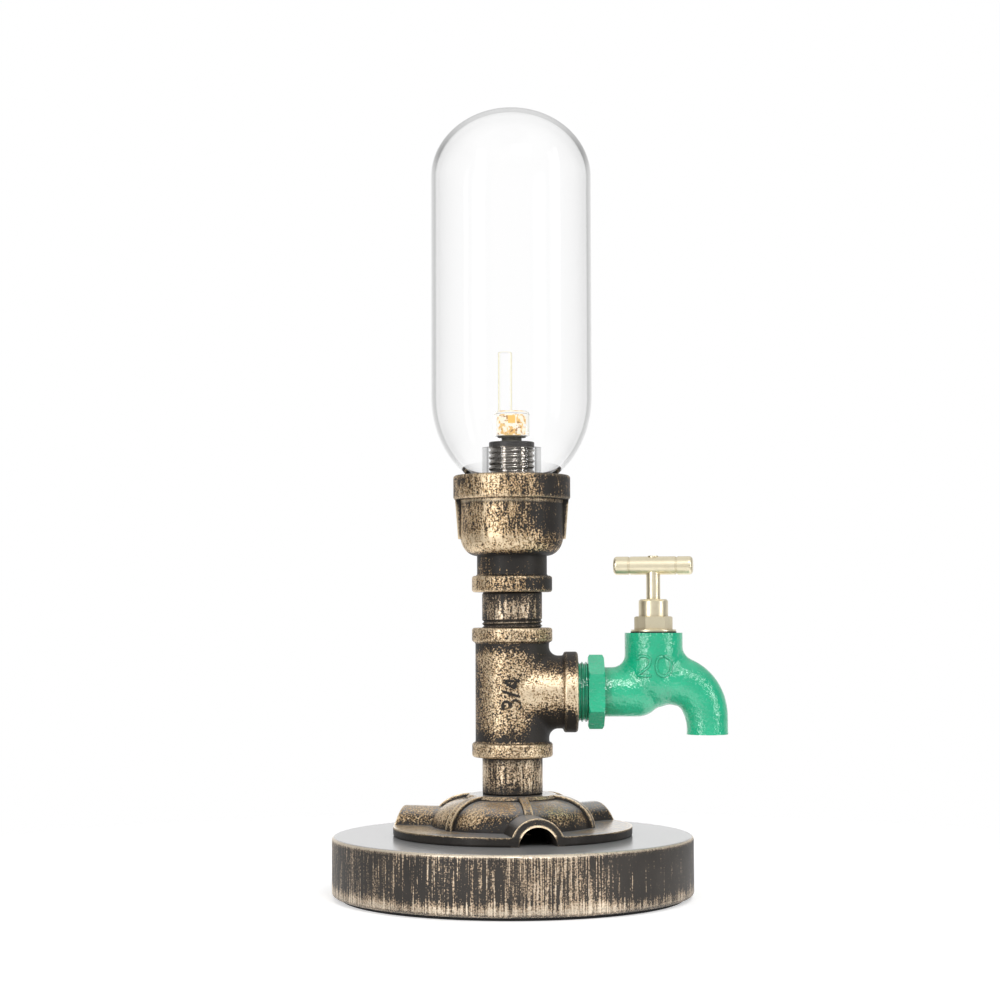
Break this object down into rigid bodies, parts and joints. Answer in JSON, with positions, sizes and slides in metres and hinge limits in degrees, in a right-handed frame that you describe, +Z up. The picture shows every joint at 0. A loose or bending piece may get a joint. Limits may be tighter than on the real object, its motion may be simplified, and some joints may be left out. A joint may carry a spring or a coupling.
{
  "type": "pipe table lamp",
  "caption": "Table lamp of pipe fittings on a round base, with a clear capsule glass shade over its lampholder and a bib tap with a T-handle on the tee's branch.",
  "frame": {"origin": "centre of the underside, on the surface that the lamp stands on", "axes": "+Z up along the pipe and the glass shade, -Y is the front, +X points along the tee's branch towards the tap; the cord leaves at the back, towards +Y"},
  "size_m": [0.176, 0.16, 0.3522],
  "materials": {
    "base_paint": "black paint dry-brushed with gold, satin",
    "foot_felt": "matt",
    "bottom_cover": "black powder coat",
    "screw_steel": "zinc plated",
    "black_plastic": "satin",
    "clamp_plastic": "natural nylon",
    "terminal_plastic": "natural nylon",
    "inner_brass": "machined",
    "bronzed_iron": "black paint dry-brushed with gold over a cast skin",
    "pipe_paint": "black paint dry-brushed with gold",
    "sleeve_brass": "tarnished",
    "holder_ceramic": "black glazed ceramic",
    "live_insulation": "satin",
    "neutral_insulation": "satin",
    "gasket_rubber": "matt",
    "bulb_foot_ceramic": "white ceramic",
    "pin_steel": "tinned",
    "core_board": "white circuit board",
    "chip_phosphor": "yellow phosphor, lit",
    "clear_cover": "clear",
    "light_guide": "clear acrylic, lit",
    "shade_glass": "clear blown glass",
    "green_enamel": "gloss enamel",
    "washer_fibre": "dark fibre",
    "polished_brass": "polished",
    "packing": "waxed twine"
  },
  "bodies": {
    "lamp": {"base_disc": "base_paint", "foot_pad": "foot_felt", "bottom_cover": "bottom_cover", "cover_screws": "screw_steel", "cord_bush": "black_plastic", "cord_clamp": "clamp_plastic", "clamp_screws": "screw_steel", "terminal_block": "terminal_plastic", "terminal_barrels": "inner_brass", "terminal_screws": "screw_steel", "block_screw": "screw_steel", "flange": "bronzed_iron", "flange_washers": "screw_steel", "flange_screws": "screw_steel", "lower_nipple": "pipe_paint", "upper_nipple": "pipe_paint", "tee": "bronzed_iron", "reducer": "bronzed_iron", "seat_plate": "screw_steel", "threaded_sleeve": "sleeve_brass", "sleeve_nuts": "screw_steel", "lampholder": "holder_ceramic", "lamp_contacts": "inner_brass", "live_lead": "live_insulation", "neutral_lead": "neutral_insulation", "shade_gasket": "gasket_rubber", "tap_body": "green_enamel", "bonnet_washer": "washer_fibre", "bonnet": "polished_brass", "gland_packing": "packing", "gland_nut": "polished_brass"},
    "shade": {"glass_shade": "shade_glass"},
    "bulb": {"bulb_foot": "bulb_foot_ceramic", "bulb_pins": "pin_steel", "light_core": "core_board", "light_chips": "chip_phosphor", "bulb_cover": "clear_cover", "light_guide": "light_guide"},
    "jumper": {"jumper": "inner_brass", "tap_washer": "gasket_rubber", "washer_nut": "inner_brass"},
    "spindle": {"spindle": "polished_brass", "t_bar": "polished_brass"}
  },
  "joints": [
    {"name": "shade_lift", "type": "slide", "parent": "lamp", "child": "shade", "axis": [0, 0, 1], "range_m": [0, 0.065]},
    {"name": "bulb_lift", "type": "slide", "parent": "lamp", "child": "bulb", "axis": [0, 0, 1], "range_m": [0, 0.012]},
    {"name": "spindle_rise", "type": "slide", "parent": "lamp", "child": "jumper", "axis": [0, 0, 1], "range_m": [0, 0.00375]},
    {"name": "handle_turn", "type": "hinge", "parent": "jumper", "child": "spindle", "pos_m": [0.063, 0, 0.1456], "axis": [0, 0, 1], "range_deg": [0, 450]}
  ],
  "couplings": [
    {"joint": "handle_turn", "follows": "spindle_rise", "rad_per_m": 2094.4}
  ]
}
